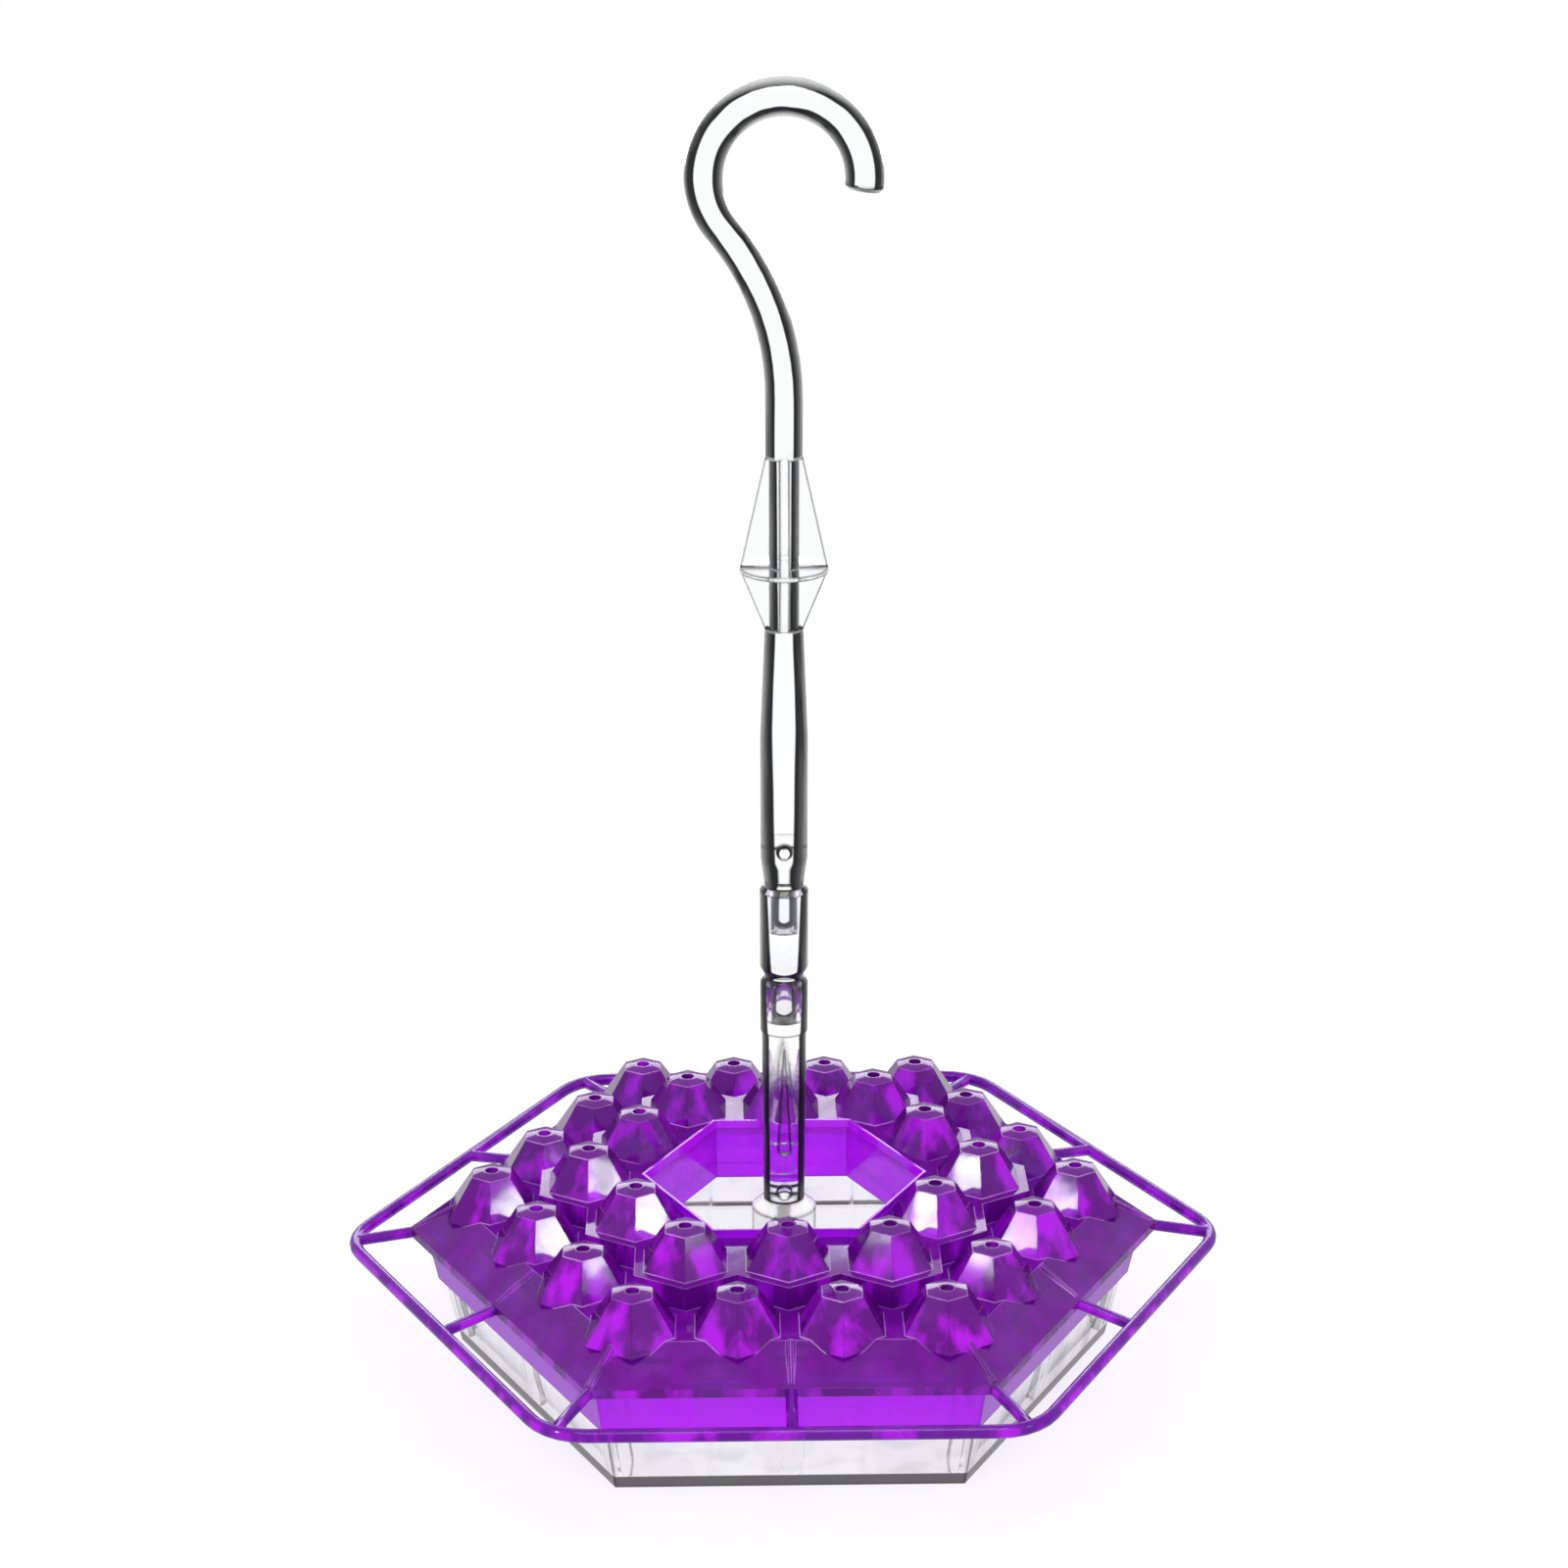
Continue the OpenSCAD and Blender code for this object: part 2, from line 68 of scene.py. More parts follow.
# Noise: its scale, its detail, and its stretch along each axis, which below 1 draws it out
VIOLET_WAVES = (55.0,)
VIOLET_FLOW = (150.0, 3.0, (1.0, 1.0, 0.25))
VIOLET_CLOUDS = (90.0, 3.0)
PAINTED_SHEEN_BREAKS = (40.0,)
CLEAR_WAVES = (45.0,)
CLEAR_WANDER = (120.0, 2.0, (1.0, 1.0, 0.15))
CLEAR_DARK_PATCHES = (70.0, 4.0, (1.0, 1.0, 2.0))
CLEAR_STREAKS = (230.0, 3.0, (1.0, 1.0, 0.1))

# Height of the waves that flow leaves in the surface
VIOLET_WAVE_HEIGHT = 0.00008
CLEAR_WAVE_HEIGHT = 0.0001

# Cosine of the angle between a face and its rounded normal, where an edge line begins and where
# it is full
EDGE_LINE = (0.985, 0.94)
# How level a surface is where a wall ends, and where a level face begins
OUTER_WALL = (0.6, 0.95)
STRIPED_WALL = (0.6, 0.85)
SHOULDER = (0.62, 0.75)

# Distances from the axis between which the collar ends and the lid's top begins
COLLAR_END = (0.037, 0.039)
# Distances from the axis between which the tray's edges get no painted shade: the moat and its wall
TRAY_BARE = (0.016, 0.05)
# Height of the tray's foot, and how much painted shade darkens it
TRAY_FOOT = 0.003
FOOT_SHADE_SHARE = 0.88
# The kite's fins on the hook rod: their heights, and the radius of the core between them
KITE_FINS = (0.188, 0.2305, 0.0036)

# Widths over which one zone of a surface fades into the next
ZONE_FADE = 0.002
KITE_FADE = 0.001
FINE_FADE = 0.0004

# Tint of the light that passes each plastic and falls on what is behind it
VIOLET_SHADOW = (0.72, 0.5, 0.9)
CLEAR_SHADOW = (0.95, 0.95, 0.95)

# The floor: its radius, its colour, and the distances over which it turns white for the camera
FLOOR_RADIUS = 5.0
FLOOR_COLOUR = (0.9, 0.9, 0.9)
FLOOR_FADE = (0.12, 0.6)
FLOOR_WHITE_SHARE = (0.75, 1.0)
# Strength of the white world as light
WORLD_FILL = 0.5

# The lamps: name, place, aim, width, height, power, and turn about the lamp's own axis. The two
# small ones are mirrored in the facets of the ports at the sides.
SLANT = math.radians(45)
LAMPS = (
    ("right lamp", (0.352, -0.275, 0.30), (0.352, -0.275, 0.0), 0.08, 0.046, 0.62, -SLANT),
    ("left lamp", (-0.324, -0.279, 0.30), (-0.324, -0.279, 0.0), 0.08, 0.046, 0.62, SLANT),
    ("top lamp", (0.0, -0.42, 0.95), (0.0, 0.0, 0.05), 0.6, 0.5, 5.5, 0.0),
    ("rear lamp", (0.0, 0.62, 0.30), (0.0, 0.07, 0.06), 0.8, 0.16, 2.4, 0.0),
)


class FeederFinish(bpy.types.PropertyGroup):
    """Colours and surface sizes of the mouldings."""

    violet: bpy.props.FloatVectorProperty(
        name="Violet", description="Tint of light that has passed a violet wall", subtype="COLOR",
        size=3, default=(0.55, 0.020, 0.84), min=0, max=1,
    )
    violet_body: bpy.props.FloatVectorProperty(
        name="Violet body", description="Colour that a thick violet wall sends back",
        subtype="COLOR", size=3, default=(0.125, 0.003, 0.22), min=0, max=1,
    )
    # Painted light: a bright copy of the violet body that stands in for light passing through the
    # thin collar and skirt
    violet_painted_glow: bpy.props.FloatVectorProperty(
        name="Violet glow", description="Colour that the thin collar and skirt send back",
        subtype="COLOR", size=3, default=(0.57, 0.009, 0.95), min=0, max=1,
    )
    violet_bar: bpy.props.FloatVectorProperty(
        name="Violet bar", description="Colour that the perch sends back", subtype="COLOR",
        size=3, default=(0.13, 0.003, 0.29), min=0, max=1,
    )
    # Painted shade: a dark violet laid where the plastic is seen edge on and along the edges of
    # walls
    violet_painted_shade: bpy.props.FloatVectorProperty(
        name="Deep violet", description="Colour of violet plastic seen edge on", subtype="COLOR",
        size=3, default=(0.045, 0.0015, 0.085), min=0, max=1,
    )
    # Painted sheen: a light violet laid on the shoulders of the mouldings in place of a lamp's
    # highlight
    violet_painted_sheen: bpy.props.FloatVectorProperty(
        name="Pale violet", description="Sheen on the shoulders of the mouldings", subtype="COLOR",
        size=3, default=(0.85, 0.48, 0.95), min=0, max=1,
    )
    clear: bpy.props.FloatVectorProperty(
        name="Clear", description="Tint of the clear plastic", subtype="COLOR", size=3,
        default=(0.97, 0.975, 0.98), min=0, max=1,
    )
    # Painted shade: grey laid where clear plastic is seen edge on
    clear_painted_rim_shade: bpy.props.FloatVectorProperty(
        name="Clear edge", description="Colour of clear plastic seen edge on", subtype="COLOR",
        size=3, default=(0.10, 0.10, 0.105), min=0, max=1,
    )
    # Painted shade: near-black lines laid along the clear mouldings' edges
    clear_line: bpy.props.FloatVectorProperty(
        name="Clear line", description="Colour of the lines along the clear mouldings' edges",
        subtype="COLOR", size=3, default=(0.008, 0.008, 0.009), min=0, max=1,
    )
    edge_round: bpy.props.FloatProperty(
        name="Edge rounding", description="Radius of the moulded edges", subtype="DISTANCE",
        unit="LENGTH", default=0.0004, min=0.0001, max=0.001,
    )


class FeederStudio(bpy.types.PropertyGroup):
    """Where the camera stands and what it looks at."""

    elevation: bpy.props.FloatProperty(
        name="Elevation", description="Camera's angle above the horizon", subtype="ANGLE",
        default=math.radians(19.54),
    )
    azimuth: bpy.props.FloatProperty(
        name="Azimuth", description="Camera's turn round the feeder", subtype="ANGLE",
        default=math.radians(-1.2),
    )
    distance: bpy.props.FloatProperty(
        name="Distance", description="Camera's distance from the point that it looks at",
        subtype="DISTANCE", unit="LENGTH", default=0.7786,
    )
    look_at: bpy.props.FloatVectorProperty(
        name="Look at", description="Point at the middle of the picture", subtype="XYZ", size=3,
        default=(0.0, 0.0, 0.1494),
    )


def studio_settings():
    return bpy.context.scene.feeder_studio


def finish_settings():
    return bpy.context.scene.feeder_finish


class Nodes:
    """A short way to write a node tree."""

    def __init__(self, tree):
        self.tree = tree
        tree.nodes.clear()

    def add(self, kind, **values):
        node = self.tree.nodes.new(kind)
        for name, value in values.items():
            setattr(node, name, value)
        return node

    def link(self, source, target):
        self.tree.links.new(source, target)


def new_material(name):
    material = bpy.data.materials.new(name)
    material.use_nodes = True
    return material, Nodes(material.node_tree)


def object_noise(nodes, scale, detail=2.0, stretch=(1.0, 1.0, 1.0)):
    """Noise on Object coordinates, drawn out along an axis where its stretch is below 1."""
    place = nodes.add("ShaderNodeTexCoord")
    turn = nodes.add("ShaderNodeMapping")
    turn.inputs["Scale"].default_value = stretch
    noise = nodes.add("ShaderNodeTexNoise")
    noise.inputs["Scale"].default_value = scale
    noise.inputs["Detail"].default_value = detail
    nodes.link(place.outputs["Object"], turn.inputs["Vector"])
    nodes.link(turn.outputs["Vector"], noise.inputs["Vector"])
    return noise.outputs["Fac"]


def remap(nodes, value, low, high, to_low, to_high, kind="LINEAR"):
    """A value that runs between two ends while the first one runs from low to high."""
    band = nodes.add("ShaderNodeMapRange", interpolation_type=kind)
    band.inputs["From Min"].default_value = low
    band.inputs["From Max"].default_value = high
    band.inputs["To Min"].default_value = to_low
    band.inputs["To Max"].default_value = to_high
    nodes.link(value, band.inputs["Value"])
    return band.outputs["Result"]


def combine(nodes, how, first, second):
    """One value from two: ADD, MULTIPLY or MAXIMUM."""
    joined = nodes.add("ShaderNodeMath", operation=how, use_clamp=True)
    for socket, value in zip(joined.inputs, (first, second)):
        if isinstance(value, float):
            socket.default_value = value
        else:
            nodes.link(value, socket)
    return joined.outputs[0]


def mix(nodes, share, first, second):
    blend = nodes.add("ShaderNodeMixShader")
    nodes.link(share, blend.inputs["Fac"])
    nodes.link(first, blend.inputs[1])
    nodes.link(second, blend.inputs[2])
    return blend.outputs["Shader"]


def rounded_normal(nodes, radius):
    """The normal of an edge that is rounded by this radius."""
    round_edge = nodes.add("ShaderNodeBevel", samples=4)
    round_edge.inputs["Radius"].default_value = radius
    return round_edge.outputs["Normal"]


def edge_lines(nodes, round_normal):
    """1 along moulded edges, 0 on the faces between them."""
    face = nodes.add("ShaderNodeNewGeometry")
    turned = nodes.add("ShaderNodeVectorMath", operation="DOT_PRODUCT")
    nodes.link(round_normal, turned.inputs[0])
    nodes.link(face.outputs["Normal"], turned.inputs[1])
    return remap(nodes, turned.outputs["Value"], *EDGE_LINE, 0.0, 1.0)


def upward(nodes, normal):
    """0 on walls, 1 on faces that look straight up or down."""
    parts = nodes.add("ShaderNodeSeparateXYZ")
    height = nodes.add("ShaderNodeMath", operation="ABSOLUTE")
    nodes.link(normal, parts.inputs["Vector"])
    nodes.link(parts.outputs["Z"], height.inputs[0])
    return height.outputs[0]


def outer_walls(nodes, flat_share):
    """1 outside on walls, the flat share outside on level faces, 0 on a surface seen from inside."""
    face = nodes.add("ShaderNodeNewGeometry")
    outside = remap(nodes, face.outputs["Backfacing"], 0.0, 1.0, 1.0, 0.0)
    walls = remap(nodes, upward(nodes, face.outputs["Normal"]), *OUTER_WALL, 1.0, flat_share)
    return combine(nodes, "MULTIPLY", outside, walls)


def ripple(nodes, height, distance, normal):
    """Faint flow waves of a moulded surface."""
    bump = nodes.add("ShaderNodeBump")
    bump.inputs["Strength"].default_value = 1.0
    bump.inputs["Distance"].default_value = distance
    nodes.link(height, bump.inputs["Height"])
    nodes.link(normal, bump.inputs["Normal"])
    return bump.outputs["Normal"]


def gloss_plastic(nodes, colour, roughness, see_through, normal, gloss=0.5, bend=CLEAR_BEND):
    plastic = nodes.add("ShaderNodeBsdfPrincipled")
    plastic.inputs["Base Color"].default_value = (*colour, 1)
    plastic.inputs["Roughness"].default_value = roughness
    plastic.inputs["Transmission Weight"].default_value = see_through
    plastic.inputs["IOR"].default_value = bend
    plastic.inputs["Specular IOR Level"].default_value = gloss
    nodes.link(normal, plastic.inputs["Normal"])
    return plastic.outputs["BSDF"]


def with_light_shadow(nodes, surface, tint):
    """A see-through piece lets most light through, in its own tint."""
    light = nodes.add("ShaderNodeLightPath")
    open_way = nodes.add("ShaderNodeBsdfTransparent")
    open_way.inputs["Color"].default_value = (*tint, 1)
    out = nodes.add("ShaderNodeOutputMaterial")
    whole = mix(nodes, light.outputs["Is Shadow Ray"], surface, open_way.outputs["BSDF"])
    nodes.link(whole, out.inputs["Surface"])


def facing_away(nodes):
    """0 where the surface is seen straight on, 1 where it is seen edge on."""
    facing = nodes.add("ShaderNodeLayerWeight")
    facing.inputs["Blend"].default_value = 0.5
    return facing.outputs["Facing"]


def object_height(nodes):
    """Height above the tray's foot."""
    place = nodes.add("ShaderNodeTexCoord")
    parts = nodes.add("ShaderNodeSeparateXYZ")
    nodes.link(place.outputs["Object"], parts.inputs["Vector"])
    return parts.outputs["Z"]


def axis_distance(nodes):
    """Distance from the feeder's upright axis."""
    place = nodes.add("ShaderNodeTexCoord")
    level = nodes.add("ShaderNodeVectorMath", operation="MULTIPLY")
    level.inputs[1].default_value = (1.0, 1.0, 0.0)
    distance = nodes.add("ShaderNodeVectorMath", operation="LENGTH")
    nodes.link(place.outputs["Object"], level.inputs[0])
    nodes.link(level.outputs["Vector"], distance.inputs[0])
    return distance.outputs["Value"]


def violet_plastic(name, body_colour, body_share, strip, painted_sheen_share):
    """Violet see-through plastic with painted light in strips on its walls, a painted sheen on its
    shoulders and painted shade at its edges.
    """
    settings = finish_settings()
    material, nodes = new_material(name)
    soft_edge = rounded_normal(nodes, settings.edge_round)
    level = upward(nodes, soft_edge)
    lines = edge_lines(nodes, soft_edge)
    normal = ripple(nodes, object_noise(nodes, *VIOLET_WAVES), VIOLET_WAVE_HEIGHT, soft_edge)

    clear = gloss_plastic(nodes, settings.violet, 0.04, 1.0, normal, gloss=0.3)
    # Painted sheen: a light, matte copy of the violet that stands in for a highlight
    painted_sheen_surface = gloss_plastic(nodes, settings.violet_painted_sheen, 0.3, 0.0, normal, gloss=0.3)
    # The body, a bright copy that paints light passing the walls, and a dark copy that paints shade
    plain, glow, shaded_violet = (
        gloss_plastic(nodes, colour, BODY_ROUGHNESS, 0.0, normal, bend=BODY_BEND)
        for colour in (body_colour, settings.violet_painted_glow, settings.violet_painted_shade)
    )

    # Painted light: upright strips of the bright copy on the walls, where light passes them
    strips = remap(nodes, object_noise(nodes, *VIOLET_FLOW), 0.47, 0.62, 0.0, 0.7)
    walls = remap(nodes, level, *STRIPED_WALL, 1.0, 0.1)
    body = mix(nodes, combine(nodes, "MULTIPLY", strips, walls), plain, glow)
    clouds = object_noise(nodes, *VIOLET_CLOUDS)
    dense = remap(nodes, clouds, 0.38, 0.62, body_share - strip, body_share + strip)

    # Painted shade: dark violet where the surface is seen edge on, and along the edges of walls
    edge_on_shade = remap(nodes, facing_away(nodes), 0.5, 0.95, 0.0, 0.85, "SMOOTHSTEP")
    wall_edge_shade = remap(nodes, level, *SHOULDER, 0.75, 0.0)
    dark = combine(nodes, "MAXIMUM", edge_on_shade, combine(nodes, "MULTIPLY", lines, wall_edge_shade))

    # Painted sheen along the edges of near-level shoulders, broken by noise and faded out at the
    # collar
    shoulder = remap(nodes, level, *SHOULDER, 0.0, 1.0)
    fading = remap(
        nodes, object_noise(nodes, *PAINTED_SHEEN_BREAKS), 0.4, 0.6, 0.2 * painted_sheen_share, painted_sheen_share,
    )
    beyond_collar = remap(nodes, axis_distance(nodes), *COLLAR_END, 0.0, 1.0)
    sheen = lines
    for share in (shoulder, fading, beyond_collar):
        sheen = combine(nodes, "MULTIPLY", sheen, share)

    surface = mix(nodes, dense, clear, body)
    surface = mix(nodes, dark, surface, shaded_violet)
    surface = mix(nodes, sheen, surface, painted_sheen_surface)
    with_light_shadow(nodes, surface, VIOLET_SHADOW)
    return material


def moulded_zone(nodes, bare_from, bare_to):
    """0 between these distances from the axis, where no edge gets painted shade, 1 elsewhere."""
    distance = axis_distance(nodes)
    inside = remap(nodes, distance, bare_from, bare_from + ZONE_FADE, 1.0, 0.0)
    outside = remap(nodes, distance, bare_to, bare_to + ZONE_FADE, 0.0, 1.0)
    return combine(nodes, "MAXIMUM", inside, outside)


def round_zone(nodes, low, high, core):
    """0 on the kite's flat fins, which lie between two heights and outside the core, 1 elsewhere."""
    height = object_height(nodes)
    below = remap(nodes, height, low, low + KITE_FADE, 1.0, 0.0)
    above = remap(nodes, height, high - KITE_FADE, high, 0.0, 1.0)
    inside = remap(nodes, axis_distance(nodes), core, core + FINE_FADE, 1.0, 0.0)
    return combine(nodes, "MAXIMUM", combine(nodes, "MAXIMUM", below, above), inside)


def foot_band(nodes, height, share):
    """This share below the height, 0 above it."""
    return remap(nodes, object_height(nodes), height, height + FINE_FADE, share, 0.0)


def clear_plastic(
    name, dark_from, dark_to, dark_share, edge_radius, flat_share, foot=0.0, bare=None, fins=None,
):
    """Clear plastic. Painted shade darkens its moulded edges, what is seen edge on, and its foot if
    one is given.
    """
    settings = finish_settings()
    material, nodes = new_material(name)
    soft_edge = rounded_normal(nodes, edge_radius)
    normal = ripple(nodes, object_noise(nodes, *CLEAR_WAVES), CLEAR_WAVE_HEIGHT, soft_edge)

    glass = gloss_plastic(nodes, settings.clear, 0.015, 1.0, normal)
    # Painted shade: near-black for the edge lines and grey for what is seen edge on, laid over the
    # glass
    line = gloss_plastic(nodes, settings.clear_line, 0.12, 0.0, normal, gloss=0.2)
    painted_rim_shade = gloss_plastic(nodes, settings.clear_painted_rim_shade, 0.12, 0.0, normal, gloss=0.4)

    wander = remap(nodes, object_noise(nodes, *CLEAR_WANDER), 0.3, 0.7, -0.03, 0.03)
    facing = combine(nodes, "ADD", facing_away(nodes), wander)
    # Painted shade in a band where the surface turns edge on, kept off the kite's fins
    begin = remap(nodes, facing, dark_from, dark_to, 0.0, dark_share, "SMOOTHSTEP")
    fade = remap(nodes, facing, dark_to + 0.25, dark_to + 0.5, 1.0, 0.8)
    band = combine(nodes, "MULTIPLY", begin, fade)
    if fins:
        band = combine(nodes, "MULTIPLY", band, round_zone(nodes, *fins))
    painted_shade_parts = combine(nodes, "MAXIMUM", band, edge_lines(nodes, soft_edge))
    if foot:
        # Dark patches at random on the tray's outer walls, in the colour of the painted shade
        dark_patches = remap(nodes, object_noise(nodes, *CLEAR_DARK_PATCHES), 0.5, 0.7, 0.0, 0.16)
        for share in (foot_band(nodes, foot, FOOT_SHADE_SHARE), dark_patches):
            painted_shade_parts = combine(nodes, "MAXIMUM", painted_shade_parts, share)
    if bare:
        painted_shade_parts = combine(nodes, "MULTIPLY", painted_shade_parts, moulded_zone(nodes, *bare))
    share = combine(nodes, "MULTIPLY", painted_shade_parts, outer_walls(nodes, flat_share))

    streaks = remap(nodes, object_noise(nodes, *CLEAR_STREAKS), 0.42, 0.58, 0.0, 1.0)
    outer = remap(nodes, facing, dark_to + 0.06, dark_to + 0.26, 0.0, 0.9)
    dark = mix(nodes, combine(nodes, "MULTIPLY", streaks, outer), line, painted_rim_shade)
    surface = mix(nodes, share, glass, dark)
    with_light_shadow(nodes, surface, CLEAR_SHADOW)
    return material


def dressed(node, name, material, body, smooth_angle):
    """A merged copy of a CAD node with smooth curves, which stands for the node."""
    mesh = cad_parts[node].data.copy()
    mesh.name = name
    mesh.materials.clear()
    form = bmesh.new()
    form.from_mesh(mesh)
    bmesh.ops.remove_doubles(form, verts=form.verts, dist=MERGE_DISTANCE)
    bmesh.ops.dissolve_degenerate(form, edges=form.edges, dist=MERGE_DISTANCE)
    for face in form.faces:
        face.smooth = True
    sharpest = math.radians(smooth_angle)
    for edge in form.edges:
        edge.smooth = len(edge.link_faces) == 2 and edge.calc_face_angle(0) < sharpest
    form.to_mesh(mesh)
    form.free()
    piece = bpy.data.objects.new(name, mesh)
    bpy.context.scene.collection.objects.link(piece)
    mesh.materials.append(material)
    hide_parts(node)
    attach(piece, body)


class FEEDER_OT_tray(bpy.types.Operator):
    """Make the clear tray"""

    bl_idname = "feeder.tray"
    bl_label = "Tray"

    def execute(self, context):
        edge = 4 * finish_settings().edge_round
        # Painted shade on the tray's edges, where it turns edge on and at its foot
        material = clear_plastic(
            "clear wall", dark_from=0.62, dark_to=0.9, dark_share=0.9, edge_radius=edge,
            flat_share=0.1, foot=TRAY_FOOT, bare=TRAY_BARE,
        )
        dressed("tray", "tray_basin", material, "tray", LARGE_CURVE)
        return {"FINISHED"}


class FEEDER_OT_lid(bpy.types.Operator):
    """Make the violet lid with its ports, collar and skirt"""

    bl_idname = "feeder.lid"
    bl_label = "Lid"

    def execute(self, context):
        settings = finish_settings()
        thick = violet_plastic(
            "violet wall", settings.violet_body, body_share=0.8, strip=0.18, painted_sheen_share=1.0,
        )
        # The thin collar and skirt take the bright copy as their body, painted light that passes
        # them
        thin = violet_plastic(
            "thin violet wall", settings.violet_painted_glow, body_share=0.6, strip=0.1, painted_sheen_share=0.0,
        )
        dressed("lid", "honeycomb_lid", thick, "lid", LARGE_CURVE)
        dressed("collar", "lid_collar", thin, "lid", LARGE_CURVE)
        dressed("skirt", "lid_skirt", thin, "lid", LARGE_CURVE)
        return {"FINISHED"}


class FEEDER_OT_perch(bpy.types.Operator):
    """Make the violet perch with its spokes"""

    bl_idname = "feeder.perch"
    bl_label = "Perch"

    def execute(self, context):
        bar = violet_plastic(
            "violet bar", finish_settings().violet_bar, body_share=0.85, strip=0.12, painted_sheen_share=0.1,
        )
        dressed("perch", "perch_ring", bar, "lid", SLENDER_CURVE)
        return {"FINISHED"}


class FEEDER_OT_rods(bpy.types.Operator):
    """Make the three clear lengths of the rod"""

    bl_idname = "feeder.rods"
    bl_label = "Rods"

    def execute(self, context):
        edge = 2 * finish_settings().edge_round
        # Painted shade: dark bands where the rods turn edge on, and dark edge lines
        common = {"dark_share": 1.0, "edge_radius": edge, "flat_share": 0.35}
        thick = clear_plastic("clear rod", dark_from=0.13, dark_to=0.17, fins=KITE_FINS, **common)
        socket = clear_plastic("clear socket", dark_from=0.30, dark_to=0.36, **common)
        for node, material in (("lower_rod", socket), ("middle_rod", socket), ("hook_rod", thick)):
            dressed(node, node + "_moulding", material, node, SLENDER_CURVE)
        return {"FINISHED"}


def soft_lamp(name, place, aim, width, height, energy, turn):
    """A rectangular lamp that shines on the aim, turned about its own axis."""
    data = bpy.data.lights.new(name, "AREA")
    data.shape = "RECTANGLE"
    data.size = width
    data.size_y = height
    data.energy = energy
    lamp = bpy.data.objects.new(name, data)
    lamp.visible_camera = False
    lamp.visible_transmission = False
    lamp.location = place
    lamp.rotation_mode = "QUATERNION"
    facing = (Vector(aim) - Vector(place)).to_track_quat("-Z", "Y")
    lamp.rotation_quaternion = facing @ Quaternion((0, 0, 1), turn)
    bpy.context.scene.collection.objects.link(lamp)


def white_for_sight(nodes, plain, seen):
    """The seen surface for the camera, a mirror or glass that looks at it, else the plain one."""
    light = nodes.add("ShaderNodeLightPath")
    share = light.outputs["Is Camera Ray"]
    for ray in ("Is Glossy Ray", "Is Transmission Ray"):
        share = combine(nodes, "MAXIMUM", share, light.outputs[ray])
    return mix(nodes, share, plain, seen)


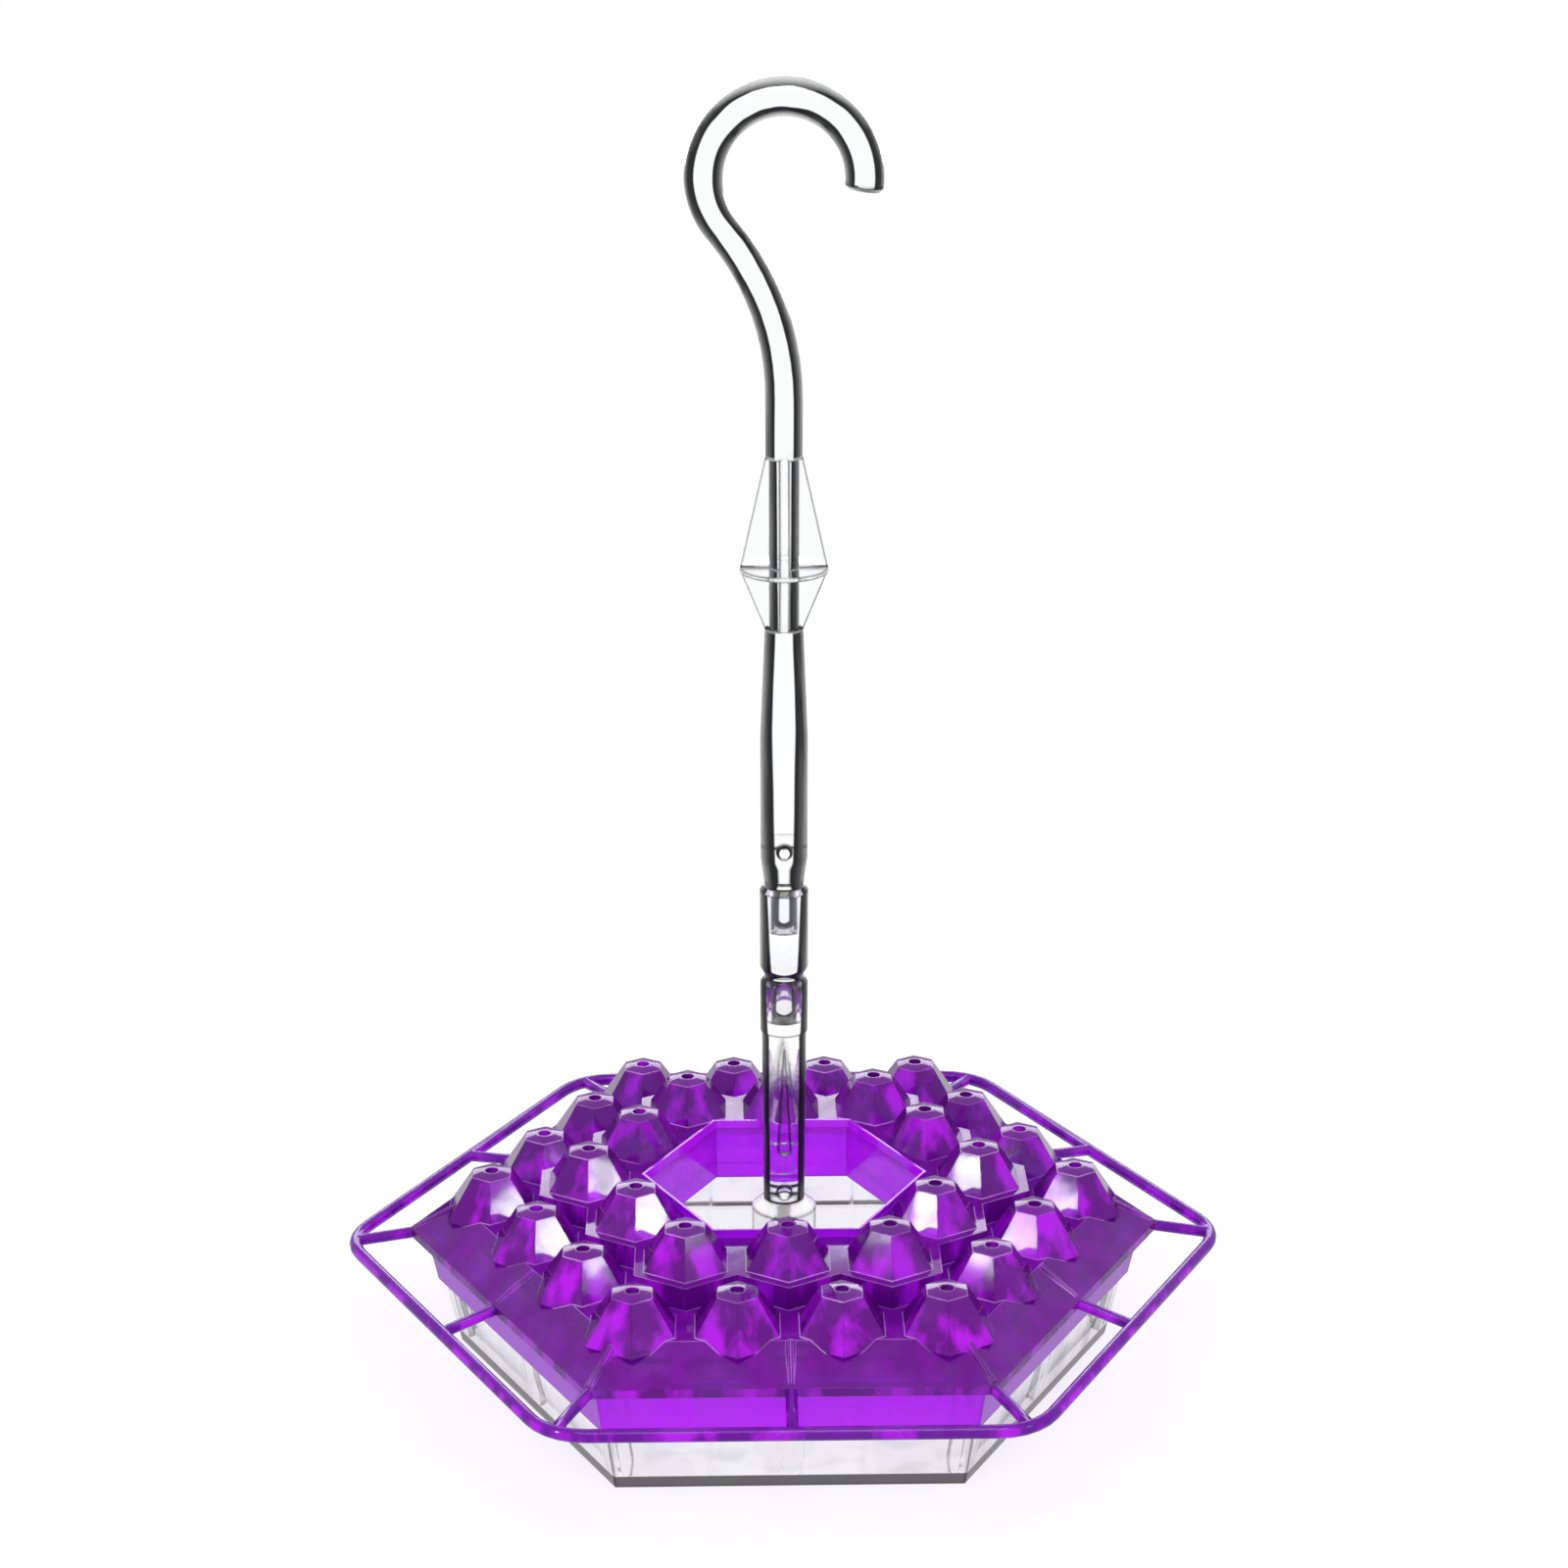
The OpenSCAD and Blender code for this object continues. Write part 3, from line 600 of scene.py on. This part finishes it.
class FEEDER_OT_stage(bpy.types.Operator):
    """Make the floor, the lamps and the camera"""

    bl_idname = "feeder.stage"
    bl_label = "Stage"

    def execute(self, context):
        self.floor()
        self.world(context)
        self.lamps()
        self.camera(context)
        return {"FINISHED"}

    def floor(self):
        form = bmesh.new()
        bmesh.ops.create_circle(form, cap_ends=True, segments=96, radius=FLOOR_RADIUS)
        mesh = bpy.data.meshes.new("floor")
        form.to_mesh(mesh)
        form.free()
        floor = bpy.data.objects.new("floor", mesh)
        bpy.context.scene.collection.objects.link(floor)
        material, nodes = new_material("pale floor")
        out = nodes.add("ShaderNodeOutputMaterial")
        matte = nodes.add("ShaderNodeBsdfDiffuse")
        matte.inputs["Color"].default_value = (*FLOOR_COLOUR, 1)
        glow = nodes.add("ShaderNodeEmission")
        glow.inputs["Color"].default_value = (1, 1, 1, 1)
        glow.inputs["Strength"].default_value = 1.0
        place = nodes.add("ShaderNodeTexCoord")
        distance = nodes.add("ShaderNodeVectorMath", operation="LENGTH")
        nodes.link(place.outputs["Object"], distance.inputs[0])
        white_share = remap(
            nodes, distance.outputs["Value"], *FLOOR_FADE, *FLOOR_WHITE_SHARE, "SMOOTHSTEP",
        )
        seen = mix(nodes, white_share, matte.outputs["BSDF"], glow.outputs["Emission"])
        nodes.link(white_for_sight(nodes, matte.outputs["BSDF"], seen), out.inputs["Surface"])
        mesh.materials.append(material)

    def world(self, context):
        world = bpy.data.worlds.new("studio")
        world.use_nodes = True
        context.scene.world = world
        nodes = Nodes(world.node_tree)
        out = nodes.add("ShaderNodeOutputWorld")
        fill = nodes.add("ShaderNodeBackground")
        fill.inputs["Color"].default_value = (1, 1, 1, 1)
        fill.inputs["Strength"].default_value = WORLD_FILL
        seen = nodes.add("ShaderNodeBackground")
        seen.inputs["Color"].default_value = (1, 1, 1, 1)
        seen.inputs["Strength"].default_value = 1.0
        whole = white_for_sight(nodes, fill.outputs["Background"], seen.outputs["Background"])
        nodes.link(whole, out.inputs["Surface"])

    def lamps(self):
        for lamp in LAMPS:
            soft_lamp(*lamp)

    def camera(self, context):
        studio = studio_settings()
        data = bpy.data.cameras.new("camera")
        data.sensor_width = SENSOR_WIDTH
        data.lens = SENSOR_WIDTH * PHOTO_FOCAL / PHOTO_SIDE
        data.clip_start = 0.05
        data.clip_end = 20
        camera = bpy.data.objects.new("camera", data)
        context.scene.collection.objects.link(camera)
        back = Vector((
            math.sin(studio.azimuth) * math.cos(studio.elevation),
            -math.cos(studio.azimuth) * math.cos(studio.elevation),
            math.sin(studio.elevation),
        ))
        camera.location = Vector(studio.look_at) + back * studio.distance
        camera.rotation_mode = "QUATERNION"
        camera.rotation_quaternion = (-back).to_track_quat("-Z", "Y")
        context.scene.camera = camera


class FEEDER_PT_panel(bpy.types.Panel):
    """The feeder's pieces and finishes"""

    bl_label = "Hummingbird feeder"
    bl_idname = "FEEDER_PT_panel"
    bl_space_type = "VIEW_3D"
    bl_region_type = "UI"
    bl_category = "Feeder"

    def draw(self, context):
        column = self.layout.column(align=True)
        for operator in PIECE_OPERATORS:
            column.operator(operator.bl_idname)
        for settings in (context.scene.feeder_finish, context.scene.feeder_studio):
            box = self.layout.box()
            for name in settings.__annotations__:
                box.prop(settings, name)


PIECE_OPERATORS = (FEEDER_OT_tray, FEEDER_OT_lid, FEEDER_OT_perch, FEEDER_OT_rods, FEEDER_OT_stage)
CLASSES = (FeederFinish, FeederStudio, *PIECE_OPERATORS, FEEDER_PT_panel)


def register():
    for cls in CLASSES:
        bpy.utils.register_class(cls)
    bpy.types.Scene.feeder_finish = bpy.props.PointerProperty(type=FeederFinish)
    bpy.types.Scene.feeder_studio = bpy.props.PointerProperty(type=FeederStudio)


def unregister():
    del bpy.types.Scene.feeder_studio
    del bpy.types.Scene.feeder_finish
    for cls in reversed(CLASSES):
        bpy.utils.unregister_class(cls)


def main():
    register()
    bpy.context.scene.view_settings.view_transform = "Standard"
    bpy.ops.feeder.tray()
    bpy.ops.feeder.lid()
    bpy.ops.feeder.perch()
    bpy.ops.feeder.rods()
    bpy.ops.feeder.stage()


if __name__ == "__main__":
    main()
